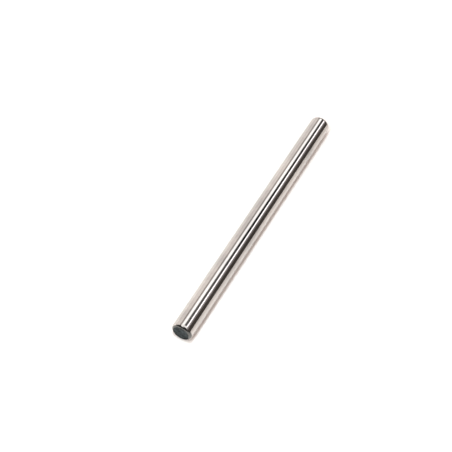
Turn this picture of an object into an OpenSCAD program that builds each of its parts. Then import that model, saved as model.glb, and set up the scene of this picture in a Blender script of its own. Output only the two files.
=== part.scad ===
// Ground dowel pin: one solid round bar with crowned ends and rounded edges.
// The pin lies along X, with the origin on its axis at the middle of its length.

/* [Shaft] */
// Ground diameter of the pin
pin_diameter = 6; // [3:0.5:12]
// Overall length, from crown to crown
pin_length = 90; // [30:1:160]

/* [Ends] */
// Radius of the sphere that crowns each end
crown_radius = 11.1; // [8:0.1:25]
// Radius of the rounded edge between the crown and the ground side
edge_radius = 1; // [0.2:0.05:1.2]

/* [Hidden] */
$fn = 96;

pin_radius = pin_diameter / 2;

// Height of the crown's centre, on the axis, above the middle of the pin
crown_height = pin_length / 2 - crown_radius;

// The edge's arc touches the ground side, and touches the crown's arc from inside
edge_offset = pin_radius - edge_radius;
edge_rise = sqrt(pow(crown_radius - edge_radius, 2) - pow(edge_offset, 2));
edge_height = crown_height + edge_rise;

// Points outside both arcs: on the axis, out to the side, and on the line through the
// two centres, which passes through the point where the arcs touch
on_axis = [0, 2 * crown_radius];
at_side = [2 * crown_radius, 0];
at_touch = [2 * edge_offset, 2 * edge_rise];

// Slice of a disc between the lines from its centre to two points outside it
module slice(radius, first_point, second_point) {
    intersection() {
        circle(r = radius);
        polygon([[0, 0], first_point, second_point]);
    }
}

// Half of the pin's section, from its middle to one end: radius to the right, length upwards
module half_section() {
    square([pin_radius, edge_height]);
    translate([edge_offset, edge_height])
        slice(edge_radius, at_side, at_touch);
    translate([0, crown_height])
        slice(crown_radius, at_touch, on_axis);
}

// The whole pin, turned about its axis
module pin() {
    color([0.72, 0.70, 0.68])
    rotate([0, 90, 0])
    rotate_extrude() {
        half_section();
        mirror([0, 1, 0])
            half_section();
    }
}

pin();
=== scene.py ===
"""Ground dowel pin, laid out as a Blender add-on: the turned bar, its finish, and a plain studio stage."""

import math

import bmesh
import bpy
from mathutils import Matrix, Vector


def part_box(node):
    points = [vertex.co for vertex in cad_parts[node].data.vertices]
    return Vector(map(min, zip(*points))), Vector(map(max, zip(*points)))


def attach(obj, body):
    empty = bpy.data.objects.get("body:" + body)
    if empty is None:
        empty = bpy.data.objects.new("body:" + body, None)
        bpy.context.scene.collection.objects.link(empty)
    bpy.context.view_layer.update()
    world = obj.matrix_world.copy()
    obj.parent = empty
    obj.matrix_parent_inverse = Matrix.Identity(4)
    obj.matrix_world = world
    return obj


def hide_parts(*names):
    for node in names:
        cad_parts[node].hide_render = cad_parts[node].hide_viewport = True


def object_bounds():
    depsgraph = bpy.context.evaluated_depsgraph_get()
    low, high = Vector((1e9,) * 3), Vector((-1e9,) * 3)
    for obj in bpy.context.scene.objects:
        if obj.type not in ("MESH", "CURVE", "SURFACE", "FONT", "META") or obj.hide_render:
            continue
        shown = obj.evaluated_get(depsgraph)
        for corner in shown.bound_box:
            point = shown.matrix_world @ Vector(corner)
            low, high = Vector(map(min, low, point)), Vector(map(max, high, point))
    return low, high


bl_info = {
    "name": "Ground dowel pin",
    "version": (1, 0, 0),
    "blender": (4, 5, 0),
    "location": "3D View > Sidebar > Dowel Pin",
    "description": "Models a ground steel dowel pin with dark crowned ends, and a plain stage to light it",
    "category": "Add Mesh",
}

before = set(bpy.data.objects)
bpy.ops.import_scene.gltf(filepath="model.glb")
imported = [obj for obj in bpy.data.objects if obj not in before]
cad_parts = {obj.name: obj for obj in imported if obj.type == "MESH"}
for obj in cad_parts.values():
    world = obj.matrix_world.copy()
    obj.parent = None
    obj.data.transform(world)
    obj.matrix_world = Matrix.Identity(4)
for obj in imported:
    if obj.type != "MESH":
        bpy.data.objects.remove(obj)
CAD_LOW, CAD_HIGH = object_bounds()

NODE = "pin"
LOW, HIGH = (Vector(corner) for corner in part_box(NODE))
PIN_LENGTH = HIGH.x - LOW.x
PIN_RADIUS = (HIGH.z - LOW.z) / 2

# Where a mask starts and where it is full, as shares of the bar's radius: towards -Y, for the painted
# dark reflection on the ends; towards the floor and from the axis out, for their painted shade low down
RIGHT_SIDE = (-0.5, -0.85)
LOW_SIDE = (-0.2, -0.6)
RIM = (0.56, 0.70)
# Levels of the noise between which a patch of the finish comes up
SPOT_LEVELS = (0.25, 0.75)
CLOUD_LEVELS = (0.34, 0.66)
# Half the width over which one finish turns into the next, in metres
DULL_SOFTNESS = 0.00005
DARK_SOFTNESS = 0.00004


class PinShape(bpy.types.PropertyGroup):
    """Sizes of the turned bar"""

    length: bpy.props.FloatProperty(
        name="Length", description="From crown to crown", default=PIN_LENGTH, unit="LENGTH"
    )
    radius: bpy.props.FloatProperty(
        name="Radius", description="Of the ground side", default=PIN_RADIUS, unit="LENGTH"
    )
    crown_radius: bpy.props.FloatProperty(
        name="Crown radius", description="Of the sphere that crowns each end", default=0.0111, unit="LENGTH"
    )
    edge_radius: bpy.props.FloatProperty(
        name="Edge radius", description="Of the rounded edge between crown and side", default=0.001,
        unit="LENGTH",
    )
    sides: bpy.props.IntProperty(
        name="Sides", description="Facets around the bar", default=192, min=24
    )
    edge_steps: bpy.props.IntProperty(
        name="Edge steps", description="Rings across each rounded edge", default=14, min=3
    )
    crown_steps: bpy.props.IntProperty(
        name="Crown steps", description="Rings across each crown", default=8, min=3
    )
    side_rings: bpy.props.IntProperty(
        name="Side rings", description="Rings along the ground side", default=23, min=3
    )
    ring_margin: bpy.props.FloatProperty(
        name="Ring margin", description="From the last side ring to the rounded edge", default=0.00025,
        unit="LENGTH",
    )


class SteelFinish(bpy.types.PropertyGroup):
    """Colours and textures of the bar, with the painted shade and painted dark reflection on its ends"""

    ground: bpy.props.FloatVectorProperty(
        name="Ground steel", description="Colour of the bright side", subtype="COLOR",
        default=(0.53, 0.503, 0.483),
    )
    cloud_low: bpy.props.FloatVectorProperty(
        name="Darkest cloud", description="Share of the ground steel's colour in the darkest patches",
        default=(0.88, 0.89, 0.90),
    )
    cloud_high: bpy.props.FloatVectorProperty(
        name="Palest cloud", description="Share of the ground steel's colour in the palest patches",
        default=(1.12, 1.11, 1.10),
    )
    dull: bpy.props.FloatVectorProperty(
        name="Dull steel", description="Colour of the rounded edges", subtype="COLOR",
        default=(0.135, 0.135, 0.13),
    )
    scale: bpy.props.FloatVectorProperty(
        name="Heat scale", description="Colour of the dark ends", subtype="COLOR",
        default=(0.046, 0.054, 0.057),
    )
    mottle: bpy.props.FloatProperty(
        name="Mottle", description="How far the heat scale gets darker and paler, as a share of its colour",
        subtype="FACTOR", default=0.7, min=0.0, max=1.0,
    )
    # Painted shade: darkens the heat scale on the low rim of each end
    low_rim_shade: bpy.props.FloatProperty(
        name="Low rim", description="Share of the heat scale's colour on the low rim of each end",
        subtype="FACTOR", default=0.1, min=0.0, max=1.0,
    )
    side_roughness: bpy.props.FloatProperty(
        name="Side roughness", description="Of the ground side", subtype="FACTOR",
        default=0.10, min=0.0, max=1.0,
    )
    edge_roughness: bpy.props.FloatProperty(
        name="Edge roughness", description="Of the rounded edges", subtype="FACTOR",
        default=0.22, min=0.0, max=1.0,
    )
    end_roughness: bpy.props.FloatProperty(
        name="End roughness", description="Of the dark ends", subtype="FACTOR",
        default=0.42, min=0.0, max=1.0,
    )
    bright_reach: bpy.props.FloatProperty(
        name="Bright reach", description="How far the ground steel reaches into the rounded edge",
        default=0.00066, unit="LENGTH",
    )
    dull_reach: bpy.props.FloatProperty(
        name="Dull reach", description="How far the dull steel reaches into the rounded edge",
        default=0.00095, unit="LENGTH",
    )
    # Painted dark reflection: the dull steel on the -Y side of each end
    right_painted_reflection: bpy.props.FloatProperty(
        name="Right painted reflection", description="How much sooner the dull steel starts on the bar's -Y side",
        default=0.0004, unit="LENGTH",
    )
    # Painted shade: the heat scale on the low side of each end
    low_painted_shade: bpy.props.FloatProperty(
        name="Low painted shade", description="How much sooner the heat scale starts low down",
        default=0.0006, unit="LENGTH",
    )
    ragged: bpy.props.FloatProperty(
        name="Ragged borders", description="Width over which the finish's borders wander",
        default=0.00012, unit="LENGTH",
    )
    line_depth: bpy.props.FloatProperty(
        name="Line depth", description="Of the turned lines on the dark ends", default=0.000004,
        unit="LENGTH",
    )
    ground_lines: bpy.props.FloatProperty(
        name="Ground lines", description="Depth of the ground side's lines, as a share of the ends' lines",
        subtype="FACTOR", default=0.04, min=0.0, max=1.0,
    )


class StageLook(bpy.types.PropertyGroup):
    """Floor, light and camera"""

    floor_size: bpy.props.FloatProperty(
        name="Floor size", description="Side of the square floor", default=4.0, unit="LENGTH"
    )
    floor_colour: bpy.props.FloatVectorProperty(
        name="Floor colour", description="Of the floor near the bar", subtype="COLOR",
        default=(0.80, 0.78, 0.77),
    )
    floor_roughness: bpy.props.FloatProperty(
        name="Floor roughness", description="Of the floor's faint gloss", subtype="FACTOR",
        default=0.3, min=0.0, max=1.0,
    )
    floor_gloss: bpy.props.FloatProperty(
        name="Floor gloss", description="Strength of the floor's faint gloss", subtype="FACTOR",
        default=0.15, min=0.0, max=1.0,
    )
    far_glow: bpy.props.FloatProperty(
        name="Far glow", description="White added to the floor far from the bar", default=0.5, min=0.0
    )
    far_glow_start: bpy.props.FloatProperty(
        name="Far glow start", description="Distance from the bar's middle where the far glow begins",
        default=0.07, unit="LENGTH",
    )
    far_glow_full: bpy.props.FloatProperty(
        name="Far glow full", description="Distance from the bar's middle where the far glow is full",
        default=0.15, unit="LENGTH",
    )
    # Painted light that lifts the bar's shadow just past its -X end
    near_glow: bpy.props.FloatProperty(
        name="Near glow", description="White added to the floor past the bar's -X end",
        default=0.2, min=0.0,
    )
    near_glow_start: bpy.props.FloatProperty(
        name="Near glow start", description="Distance past the -X end where the near glow begins",
        default=-0.001, unit="LENGTH",
    )
    near_glow_full: bpy.props.FloatProperty(
        name="Near glow full", description="Distance past the -X end where the near glow is full",
        default=0.0004, unit="LENGTH",
    )
    card_distance: bpy.props.FloatProperty(
        name="Card distance", description="From the bar's axis to the lamp and each card along the bar",
        default=0.32, unit="LENGTH",
    )
    flag_distance: bpy.props.FloatProperty(
        name="Flag distance", description="From each end of the bar to the dark card there", default=0.06,
        unit="LENGTH",
    )
    flag_low: bpy.props.FloatProperty(
        name="Flag low edge", description="Height of the low edge of the dark cards past the ends",
        default=0.004, unit="LENGTH",
    )
    lamp_angle: bpy.props.FloatProperty(
        name="Lamp angle", description="From overhead towards -Y", subtype="ANGLE",
        default=math.radians(-7.0),
    )
    lamp_length: bpy.props.FloatProperty(
        name="Lamp length", description="Along the bar", default=0.40, unit="LENGTH"
    )
    lamp_width: bpy.props.FloatProperty(
        name="Lamp width", description="Across the bar", default=0.079, unit="LENGTH"
    )
    lamp_along: bpy.props.FloatProperty(
        name="Lamp place", description="Along the bar, from its middle", default=-0.15, unit="LENGTH"
    )
    lamp_power: bpy.props.FloatProperty(
        name="Lamp power", description="Of the key lamp", default=1.6, min=0.0, unit="POWER"
    )
    lamp_colour: bpy.props.FloatVectorProperty(
        name="Lamp colour", description="Of the key lamp", subtype="COLOR", default=(0.86, 0.98, 1.0)
    )
    room_colour: bpy.props.FloatVectorProperty(
        name="Room colour", description="Of the soft light from all round", subtype="COLOR",
        default=(0.93, 0.78, 0.715),
    )
    lens: bpy.props.FloatProperty(
        name="Lens", description="Focal length for a 36 mm sensor", default=82.44, unit="CAMERA"
    )
    camera_place: bpy.props.FloatVectorProperty(
        name="Camera place", description="From the middle of the bar, before the turn",
        subtype="TRANSLATION", unit="LENGTH", default=(-0.17704, -0.08273, 0.22563),
    )
    camera_aim: bpy.props.FloatVectorProperty(
        name="Camera aim", description="Point that the camera looks at, before the turn",
        subtype="TRANSLATION", unit="LENGTH", default=(-0.006325, 0.006670, 0.0),
    )
    camera_turn: bpy.props.FloatProperty(
        name="Camera turn", description="About the bar's axis", subtype="ANGLE",
        default=math.radians(-8.9),
    )


def add_node(tree, kind, **values):
    """A node of this kind, with its own settings and its inputs set by name."""
    node = tree.nodes.new(kind)
    for name, value in values.items():
        if hasattr(node, name):
            setattr(node, name, value)
        else:
            node.inputs[name.replace("_", " ")].default_value = value
    return node


def math_node(tree, operation, *inputs, clamp=False):
    """A Math node; each input is a number or another node's output."""
    node = tree.nodes.new("ShaderNodeMath")
    node.operation = operation
    node.use_clamp = clamp
    for socket, value in zip(node.inputs, inputs):
        if isinstance(value, bpy.types.NodeSocket):
            tree.links.new(value, socket)
        else:
            socket.default_value = value
    return node.outputs[0]


def put(tree, socket, value):
    """Links an output to this input, or sets the input's own value."""
    if isinstance(value, bpy.types.NodeSocket):
        tree.links.new(value, socket)
    elif socket.type == "RGBA":
        socket.default_value = (*value, 1.0)
    else:
        socket.default_value = value


def mix_colours(tree, factor, first, second):
    """Blend of two colours, each of them three numbers or another node's output."""
    node = add_node(tree, "ShaderNodeMix", data_type="RGBA")
    put(tree, node.inputs["Factor"], factor)
    put(tree, node.inputs[6], first)
    put(tree, node.inputs[7], second)
    return node.outputs[2]


def mix_values(tree, factor, first, second):
    """Blend of two numbers, each of them plain or another node's output."""
    node = add_node(tree, "ShaderNodeMix", data_type="FLOAT")
    put(tree, node.inputs["Factor"], factor)
    put(tree, node.inputs[2], first)
    put(tree, node.inputs[3], second)
    return node.outputs[0]


def smooth_step(tree, value, start, end):
    """0 up to the start and 1 from the end on, smooth between; the end may be the lower of the two."""
    node = add_node(tree, "ShaderNodeMapRange", interpolation_type="SMOOTHSTEP")
    node.inputs["From Min"].default_value = start
    node.inputs["From Max"].default_value = end
    tree.links.new(value, node.inputs["Value"])
    return node.outputs["Result"]


def scaled(values, factor):
    """Each of these numbers, or parts of a colour, times the factor."""
    return [value * factor for value in values]


def tinted(colour, tint):
    """A colour with each of its parts times that of the tint."""
    return [level * share for level, share in zip(colour, tint)]


def turned_lines_group():
    """Fine lines that run round the bar, uneven like those that a wheel or a lathe leaves."""
    group = bpy.data.node_groups.new("Turned lines", "ShaderNodeTree")
    sockets = group.interface
    sockets.new_socket("Vector", in_out="INPUT", socket_type="NodeSocketVector")
    sockets.new_socket("Position", in_out="INPUT", socket_type="NodeSocketFloat")
    sockets.new_socket("Lines per metre", in_out="INPUT", socket_type="NodeSocketFloat")
    sockets.new_socket("Patches per metre", in_out="INPUT", socket_type="NodeSocketFloat")
    sockets.new_socket("Height", in_out="OUTPUT", socket_type="NodeSocketFloat")
    start = group.nodes.new("NodeGroupInput")
    end = group.nodes.new("NodeGroupOutput")
    patches = add_node(group, "ShaderNodeVectorMath", operation="SCALE")
    group.links.new(start.outputs["Vector"], patches.inputs[0])
    group.links.new(start.outputs["Patches per metre"], patches.inputs["Scale"])
    along = math_node(group, "MULTIPLY", start.outputs["Position"], start.outputs["Lines per metre"])
    noise = add_node(
        group, "ShaderNodeTexNoise", noise_dimensions="4D", Scale=1.0, Detail=2.0, Roughness=0.6
    )
    group.links.new(patches.outputs[0], noise.inputs["Vector"])
    group.links.new(along, noise.inputs["W"])
    group.links.new(noise.outputs[0], end.inputs["Height"])
    return group


def turned_lines(tree, coordinates, position, lines_per_metre, patches_per_metre):
    """Height of the turned lines, which are spaced along this position."""
    group = bpy.data.node_groups.get("Turned lines") or turned_lines_group()
    node = add_node(tree, "ShaderNodeGroup", node_tree=group)
    node.inputs["Lines per metre"].default_value = lines_per_metre
    node.inputs["Patches per metre"].default_value = patches_per_metre
    tree.links.new(coordinates, node.inputs["Vector"])
    tree.links.new(position, node.inputs["Position"])
    return node.outputs["Height"]


def noise_level(tree, coordinates, **values):
    """Level of a noise texture on these coordinates."""
    node = add_node(tree, "ShaderNodeTexNoise", **values)
    tree.links.new(coordinates, node.inputs["Vector"])
    return node.outputs[0]


def border_mask(tree, reach, wander, place, softness):
    """0 before a place along the rounded edge and 1 past it."""
    return smooth_step(tree, math_node(tree, "ADD", reach, wander), place - softness, place + softness)


def pin_material(finish, shape):
    """Bright ground steel along the side, dull steel on the rounded edges, dark heat scale on both ends."""
    # The ends also get painted shade low down and a painted dark reflection on their -Y side
    material = bpy.data.materials.new("Ground steel, dark ends")
    material.use_nodes = True
    tree = material.node_tree
    shader = tree.nodes["Principled BSDF"]

    coordinates = add_node(tree, "ShaderNodeTexCoord").outputs["Object"]
    parts = add_node(tree, "ShaderNodeSeparateXYZ")
    tree.links.new(coordinates, parts.inputs[0])
    along = parts.outputs["X"]
    across = math_node(
        tree, "SQRT",
        math_node(
            tree, "ADD",
            math_node(tree, "POWER", parts.outputs["Y"], 2.0),
            math_node(tree, "POWER", parts.outputs["Z"], 2.0),
        ),
    )

    # Where one finish gives way to the next: distance into the rounded edge, with a ragged border
    reach = math_node(tree, "SUBTRACT", math_node(tree, "ABSOLUTE", along), side_half_length(shape))
    ragged = noise_level(tree, coordinates, Scale=900.0, Detail=3.0, Roughness=0.55)
    wander = math_node(tree, "MULTIPLY_ADD", ragged, finish.ragged, -finish.ragged / 2)
    # Painted dark reflection: the dull steel starts sooner on the bar's -Y side
    right_side = smooth_step(tree, parts.outputs["Y"], *scaled(RIGHT_SIDE, shape.radius))
    right_reflection_reach = math_node(tree, "MULTIPLY_ADD", right_side, finish.right_painted_reflection, reach)
    dull = border_mask(tree, right_reflection_reach, wander, finish.bright_reach, DULL_SOFTNESS)
    # Painted shade: the heat scale starts sooner on the side towards the floor
    low_side = smooth_step(tree, parts.outputs["Z"], *scaled(LOW_SIDE, shape.radius))
    low_shade_reach = math_node(tree, "MULTIPLY_ADD", low_side, finish.low_painted_shade, reach)
    dark = border_mask(tree, low_shade_reach, wander, finish.dull_reach, DARK_SOFTNESS)

    # Heat scale: mottled, with painted shade that makes it nearly black on the low rim
    mottle = noise_level(tree, coordinates, Scale=1000.0, Detail=4.0, Roughness=0.65)
    spots = smooth_step(tree, mottle, *SPOT_LEVELS)
    scale_tone = mix_colours(
        tree, spots, scaled(finish.scale, 1.0 - finish.mottle), scaled(finish.scale, 1.0 + finish.mottle)
    )
    rim = smooth_step(tree, across, *scaled(RIM, shape.radius))
    low_rim_shade = math_node(tree, "MULTIPLY", low_side, rim)
    scale_tone = mix_colours(tree, low_rim_shade, scale_tone, scaled(finish.scale, finish.low_rim_shade))

    # Ground steel: faint clouds
    cloud_level = noise_level(tree, coordinates, Scale=80.0, Detail=6.0, Roughness=0.62)
    clouds = smooth_step(tree, cloud_level, *CLOUD_LEVELS)
    clouded = mix_colours(
        tree, clouds, tinted(finish.ground, finish.cloud_low), tinted(finish.ground, finish.cloud_high)
    )

    steel = mix_colours(tree, dull, clouded, finish.dull)
    tree.links.new(mix_colours(tree, dark, steel, scale_tone), shader.inputs["Base Color"])
    steel_rough = mix_values(tree, dull, finish.side_roughness, finish.edge_roughness)
    rough = mix_values(tree, dark, steel_rough, finish.end_roughness)
    tree.links.new(rough, shader.inputs["Roughness"])
    tree.links.new(math_node(tree, "SUBTRACT", 1.0, dark), shader.inputs["Metallic"])
    shader.inputs["Specular IOR Level"].default_value = 0.0

    grinding = turned_lines(tree, coordinates, along, lines_per_metre=9000.0, patches_per_metre=150.0)
    facing = turned_lines(tree, coordinates, across, lines_per_metre=6000.0, patches_per_metre=120.0)
    marks = mix_values(tree, dark, math_node(tree, "MULTIPLY", grinding, finish.ground_lines), facing)
    bump = add_node(tree, "ShaderNodeBump", Strength=1.0, Distance=finish.line_depth)
    tree.links.new(marks, bump.inputs["Height"])
    tree.links.new(bump.outputs[0], shader.inputs["Normal"])
    return material


def side_half_length(shape):
    """Distance from the bar's middle to the ring where the ground side turns into the rounded edge."""
    gap = shape.crown_radius - shape.edge_radius
    offset = shape.radius - shape.edge_radius
    return shape.length / 2 - shape.crown_radius + math.sqrt(gap**2 - offset**2)


def end_rings(shape):
    """(place along the bar, radius) of each ring from the side to the crown's middle, side ring first."""
    offset = shape.radius - shape.edge_radius
    centre = shape.length / 2 - shape.crown_radius
    crown_angle = math.asin(offset / (shape.crown_radius - shape.edge_radius))
    turn = math.pi / 2 - crown_angle
    start = side_half_length(shape)
    rings = []
    for step in range(shape.edge_steps + 1):
        angle = turn * step / shape.edge_steps
        place = start + shape.edge_radius * math.sin(angle)
        rings.append((place, offset + shape.edge_radius * math.cos(angle)))
    for step in range(1, shape.crown_steps):
        angle = crown_angle * (1 - step / shape.crown_steps)
        place = centre + shape.crown_radius * math.cos(angle)
        rings.append((place, shape.crown_radius * math.sin(angle)))
    return rings


def select_end(bar, side):
    """Selects only the flat face at one end of the bar, in edit mode; the side is -1 or 1."""
    mesh = bmesh.from_edit_mesh(bar.data)
    for face in mesh.faces:
        face.select = False
    mesh.select_flush(False)
    end = max(mesh.faces, key=lambda face: side * face.calc_center_median().x)
    end.select = True
    mesh.select_flush(True)
    bmesh.update_edit_mesh(bar.data)


class DOWEL_OT_bar(bpy.types.Operator):
    """Model the pin as one turned bar: a cylinder whose ends are inset ring by ring into edge and crown"""

    bl_idname = "dowel.bar"
    bl_label = "Model the pin"
    bl_options = {"REGISTER", "UNDO"}

    def execute(self, context):
        shape = context.scene.dowel_shape
        rings = end_rings(shape)
        bpy.ops.object.select_all(action="DESELECT")
        bpy.ops.mesh.primitive_cylinder_add(
            vertices=shape.sides, radius=shape.radius, depth=2 * rings[0][0], rotation=(0, math.pi / 2, 0)
        )
        bar = context.object
        bar.name = bar.data.name = "dowel_pin"
        bpy.ops.object.transform_apply(rotation=True)

        bpy.ops.object.mode_set(mode="EDIT")
        bpy.ops.mesh.select_mode(type="FACE")
        for side in (-1, 1):
            select_end(bar, side)
            for (near, wide), (far, narrow) in zip(rings, rings[1:]):
                bpy.ops.mesh.inset(thickness=wide - narrow, depth=far - near)
            bpy.ops.mesh.poke(offset=shape.length / 2 - rings[-1][0])
        last_ring = rings[0][0] - shape.ring_margin
        for step in range(shape.side_rings):
            bpy.ops.mesh.select_all(action="SELECT")
            place = last_ring * (2 * step / (shape.side_rings - 1) - 1)
            bpy.ops.mesh.bisect(plane_co=(place, 0, 0), plane_no=(1, 0, 0))
        bpy.ops.mesh.select_all(action="SELECT")
        bpy.ops.mesh.normals_make_consistent(inside=False)
        bpy.ops.object.mode_set(mode="OBJECT")
        bpy.ops.object.shade_smooth()

        bar.data.materials.append(pin_material(context.scene.dowel_finish, shape))
        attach(bar, "root")
        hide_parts(NODE)
        return {"FINISHED"}


# Pale and dark cards round the bar that show only in its reflection: name, first and last angle from
# overhead towards -Y in degrees, share of the width that fades out at each long edge, reach along the
# bar in metres, colour times strength
CARDS = [
    ("wall_card", -90.0, -44.5, 0.0, (-0.15, 0.6), (1.16, 1.1, 1.06)),
    ("seam_card", -44.5, -31.5, 0.0, (-0.15, 0.6), (0.48, 0.425, 0.405)),
    ("wall_flag", -90.0, -29.0, 0.0, (-0.3, -0.15), (0.05, 0.05, 0.05)),
    ("head_light", -29.0, -3.0, 0.12, (-0.3, 0.115), (1.6, 1.6, 1.6)),
    ("side_light", -3.0, 34.5, 0.0, (-0.15, 0.115), (1.6, 1.6, 1.6)),
    ("head_flag", -3.0, 34.5, 0.0, (-0.3, -0.15), (0.03, 0.03, 0.03)),
    ("top_light", -29.0, -1.0, 0.2, (0.115, 0.5), (2.0, 2.0, 2.0)),
    ("gap_near_card", -1.0, 23.4, 0.0, (0.115, 0.2), (0.14, 0.14, 0.14)),
    ("gap_middle_card", -1.0, 23.4, 0.0, (0.2, 0.27), (0.03, 0.03, 0.03)),
    ("gap_far_card", -1.0, 23.4, 0.0, (0.27, 0.5), (0.08, 0.08, 0.08)),
    ("strip_light", 23.4, 34.5, 0.0, (0.115, 0.5), (2.9, 2.8, 2.9)),
    ("dim_card", 34.5, 50.0, 0.0, (-0.27, 0.5), (0.395, 0.365, 0.37)),
    ("dark_card", 50.0, 88.5, 0.0, (-0.3, 0.6), (0.09, 0.078, 0.069)),
]

# Small dark upright cards past the two ends: name, end of the bar as the sign of X, height of the top
# edge and width in metres; below them, the colour times strength of both
FLAGS = [
    ("front_flag", -1, 0.072, 0.14),
    ("back_flag", 1, 0.042, 0.08),
]
FLAG_LEVEL = (0.03, 0.03, 0.03)

# A card without a fade still gets this one, so that its mask never divides by zero
SMALLEST_FADE = 0.0001


def fading_edge_group():
    """Mask that is 1 in the middle of a card and fades to 0 at its two long edges."""
    group = bpy.data.node_groups.new("Fading edge", "ShaderNodeTree")
    sockets = group.interface
    sockets.new_socket("Vector", in_out="INPUT", socket_type="NodeSocketVector")
    sockets.new_socket("Fade", in_out="INPUT", socket_type="NodeSocketFloat")
    sockets.new_socket("Mask", in_out="OUTPUT", socket_type="NodeSocketFloat")
    start = group.nodes.new("NodeGroupInput")
    end = group.nodes.new("NodeGroupOutput")
    parts = add_node(group, "ShaderNodeSeparateXYZ")
    group.links.new(start.outputs["Vector"], parts.inputs[0])
    inside = math_node(group, "SUBTRACT", 0.5, math_node(group, "ABSOLUTE", parts.outputs["Y"]))
    fade = math_node(group, "MAXIMUM", start.outputs["Fade"], SMALLEST_FADE)
    group.links.new(math_node(group, "DIVIDE", inside, fade, clamp=True), end.inputs["Mask"])
    return group


def glow(name, level, fade):
    """A material that gives off this much light, faded out over a share of the width at each long edge."""
    material = bpy.data.materials.new(name)
    material.use_nodes = True
    tree = material.node_tree
    tree.nodes.remove(tree.nodes["Principled BSDF"])
    group = bpy.data.node_groups.get("Fading edge") or fading_edge_group()
    mask = add_node(tree, "ShaderNodeGroup", node_tree=group)
    mask.inputs["Fade"].default_value = fade
    tree.links.new(add_node(tree, "ShaderNodeTexCoord").outputs["Object"], mask.inputs["Vector"])
    light = add_node(tree, "ShaderNodeEmission", Color=(*level, 1.0), Strength=1.0)
    clear = add_node(tree, "ShaderNodeBsdfTransparent")
    blend = add_node(tree, "ShaderNodeMixShader")
    tree.links.new(mask.outputs["Mask"], blend.inputs[0])
    tree.links.new(clear.outputs[0], blend.inputs[1])
    tree.links.new(light.outputs[0], blend.inputs[2])
    tree.links.new(blend.outputs[0], tree.nodes["Material Output"].inputs["Surface"])
    return material


def add_sheet(name, place, turn, size, level, fade):
    """A flat sheet of this brightness that only a reflection shows, and that lights nothing else."""
    bpy.ops.object.select_all(action="DESELECT")
    bpy.ops.mesh.primitive_plane_add(size=1.0, location=place, rotation=turn)
    sheet = bpy.context.object
    sheet.name = name
    sheet.scale = (*size, 1.0)
    sheet.data.materials.append(glow(name, level, fade))
    sheet.visible_camera = False
    sheet.visible_diffuse = False
    return sheet


def add_card(name, first, last, fade, reach, level, distance):
    """A long flat card beside the bar, which faces it between two angles about its axis."""
    middle = math.radians((first + last) / 2)
    width = 2 * distance * math.tan(math.radians(last - first) / 2)
    place = (sum(reach) / 2, -distance * math.sin(middle), distance * math.cos(middle))
    card = add_sheet(name, place, (middle, 0, 0), (reach[1] - reach[0], width), level, fade)


def add_flag(name, side, high, width, low, distance):
    """A small dark upright card past one end, which darkens the rounded edge there; it casts no shadow."""
    place = (side * (PIN_LENGTH / 2 + distance), 0, (low + high) / 2)
    flag = add_sheet(name, place, (0, math.pi / 2, 0), (high - low, width), FLAG_LEVEL, 0.0)
    flag.visible_shadow = False


def add_lamp(look):
    """A long area light overhead that lights the floor and the dark ends, unseen in the bright steel."""
    turn = look.lamp_angle
    place = (look.lamp_along, -look.card_distance * math.sin(turn), look.card_distance * math.cos(turn))
    bpy.ops.object.light_add(type="AREA", location=place, rotation=(turn, 0, 0))
    lamp = bpy.context.object
    lamp.name = "key_lamp"
    lamp.data.shape = "RECTANGLE"
    lamp.data.size = look.lamp_length
    lamp.data.size_y = look.lamp_width
    lamp.data.energy = look.lamp_power
    lamp.data.color = look.lamp_colour
    lamp.visible_glossy = False
    lamp.visible_camera = False


def seen_ray(tree):
    """1 for a ray from the camera, a reflection or clear glass, and 0 for light that scatters."""
    path = add_node(tree, "ShaderNodeLightPath")
    direct = math_node(tree, "MAXIMUM", path.outputs["Is Camera Ray"], path.outputs["Is Transmission Ray"])
    return math_node(tree, "MAXIMUM", direct, path.outputs["Is Glossy Ray"])


def floor_material(look):
    """Plain white that keeps the bar's shadow and glows to the eye far from it; painted light lifts the
    shadow past its -X end.
    """
    material = bpy.data.materials.new("White floor")
    material.use_nodes = True
    # The glow is for the eye alone, so it isn't sampled as a light
    material.cycles.emission_sampling = "NONE"
    tree = material.node_tree
    shader = tree.nodes["Principled BSDF"]
    shader.inputs["Base Color"].default_value = (*look.floor_colour, 1.0)
    shader.inputs["Roughness"].default_value = look.floor_roughness
    shader.inputs["Specular IOR Level"].default_value = look.floor_gloss

    coordinates = add_node(tree, "ShaderNodeTexCoord").outputs["Object"]
    distance = add_node(tree, "ShaderNodeVectorMath", operation="LENGTH")
    tree.links.new(coordinates, distance.inputs[0])
    parts = add_node(tree, "ShaderNodeSeparateXYZ")
    tree.links.new(coordinates, parts.inputs[0])
    past_end = math_node(tree, "SUBTRACT", CAD_LOW.x, parts.outputs["X"])
    far = smooth_step(tree, distance.outputs["Value"], look.far_glow_start, look.far_glow_full)
    # Painted light: a glow on the floor just past the -X end, which lifts the bar's shadow there
    near = smooth_step(tree, past_end, look.near_glow_start, look.near_glow_full)
    level = math_node(
        tree, "MAXIMUM",
        math_node(tree, "MULTIPLY", far, look.far_glow),
        math_node(tree, "MULTIPLY", near, look.near_glow),
    )
    shader.inputs["Emission Color"].default_value = (1.0, 1.0, 1.0, 1.0)
    tree.links.new(math_node(tree, "MULTIPLY", seen_ray(tree), level), shader.inputs["Emission Strength"])
    return material


def set_room(scene, colour):
    """Soft light of this colour from all round, which the eye and the reflections see as white."""
    world = bpy.data.worlds.new("Studio")
    scene.world = world
    world.use_nodes = True
    tree = world.node_tree
    sky = mix_colours(tree, seen_ray(tree), colour, (1.0, 1.0, 1.0))
    tree.links.new(sky, tree.nodes["Background"].inputs["Color"])


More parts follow.
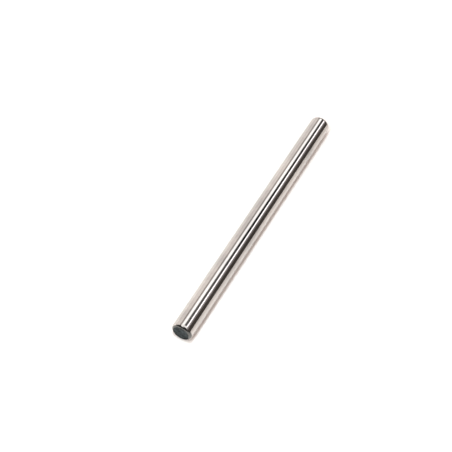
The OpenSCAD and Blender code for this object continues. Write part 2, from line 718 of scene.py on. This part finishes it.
def add_camera(scene, look):
    """The camera, aimed from its place and then turned with it about the bar's axis."""
    direction = Vector(look.camera_aim) - Vector(look.camera_place)
    level = Matrix.Translation(look.camera_place) @ direction.to_track_quat("-Z", "Y").to_matrix().to_4x4()
    bpy.ops.object.camera_add()
    camera = bpy.context.object
    camera.matrix_world = Matrix.Rotation(look.camera_turn, 4, "X") @ level
    camera.data.lens = look.lens
    camera.data.clip_start = 0.005
    scene.camera = camera


class DOWEL_OT_stage(bpy.types.Operator):
    """Lay the floor, stand the pale and dark cards round the bar, hang the lamp and place the camera"""

    bl_idname = "dowel.stage"
    bl_label = "Set the stage"
    bl_options = {"REGISTER", "UNDO"}

    def execute(self, context):
        look = context.scene.dowel_stage
        bpy.ops.object.select_all(action="DESELECT")
        bpy.ops.mesh.primitive_plane_add(size=look.floor_size, location=(0, 0, CAD_LOW.z))
        floor = context.object
        floor.name = "floor"
        floor.data.materials.append(floor_material(look))
        for name, first, last, fade, reach, level in CARDS:
            add_card(name, first, last, fade, reach, level, look.card_distance)
        for name, side, high, width in FLAGS:
            add_flag(name, side, high, width, look.flag_low, look.flag_distance)
        add_lamp(look)
        set_room(context.scene, look.room_colour)
        add_camera(context.scene, look)
        context.scene.view_settings.view_transform = "Standard"
        return {"FINISHED"}


class DOWEL_PT_panel(bpy.types.Panel):
    """Steps in the 3D view's sidebar"""

    bl_label = "Dowel Pin"
    bl_idname = "DOWEL_PT_panel"
    bl_space_type = "VIEW_3D"
    bl_region_type = "UI"
    bl_category = "Dowel Pin"

    def draw(self, context):
        for operator in OPERATORS:
            self.layout.operator(operator.bl_idname)


OPERATORS = (DOWEL_OT_bar, DOWEL_OT_stage)
GROUPS = {"dowel_shape": PinShape, "dowel_finish": SteelFinish, "dowel_stage": StageLook}
CLASSES = (*GROUPS.values(), *OPERATORS, DOWEL_PT_panel)


def register():
    for cls in CLASSES:
        bpy.utils.register_class(cls)
    for name, group in GROUPS.items():
        setattr(bpy.types.Scene, name, bpy.props.PointerProperty(type=group))


def unregister():
    for name in GROUPS:
        delattr(bpy.types.Scene, name)
    for cls in reversed(CLASSES):
        bpy.utils.unregister_class(cls)


def main():
    register()
    bpy.ops.dowel.bar()
    bpy.ops.dowel.stage()


if __name__ == "__main__":
    main()
